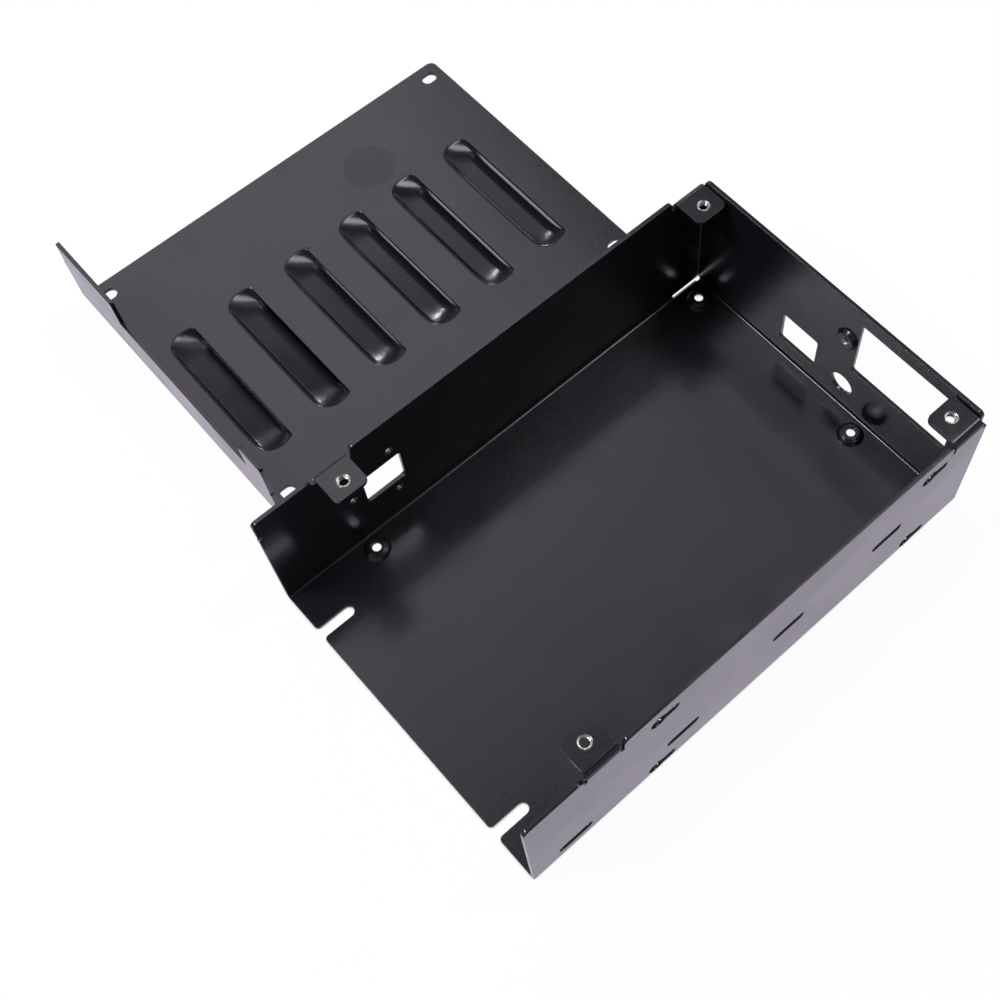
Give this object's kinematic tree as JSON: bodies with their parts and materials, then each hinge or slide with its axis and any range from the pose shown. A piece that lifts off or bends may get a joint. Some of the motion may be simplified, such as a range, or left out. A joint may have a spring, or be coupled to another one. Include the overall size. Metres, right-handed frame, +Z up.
{
  "type": "electronics enclosure",
  "caption": "Open-fronted folded sheet metal tray with board bosses, cut-outs and screw tabs, and its louvred flanged cover lying beside it.",
  "frame": {"origin": "middle of the tray's underside", "axes": "+X from the tray's open front to its end wall, +Y from the tray towards the cover beside it, +Z up out of the tray"},
  "size_m": [0.15, 0.2141, 0.047],
  "materials": {
    "tray_paint": "satin black powder coat on steel sheet, bare metal in the tapped holes",
    "cover_paint": "satin black powder coat on steel sheet"
  },
  "bodies": {
    "root": {"tray": "tray_paint", "cover": "cover_paint"}
  },
  "joints": []
}
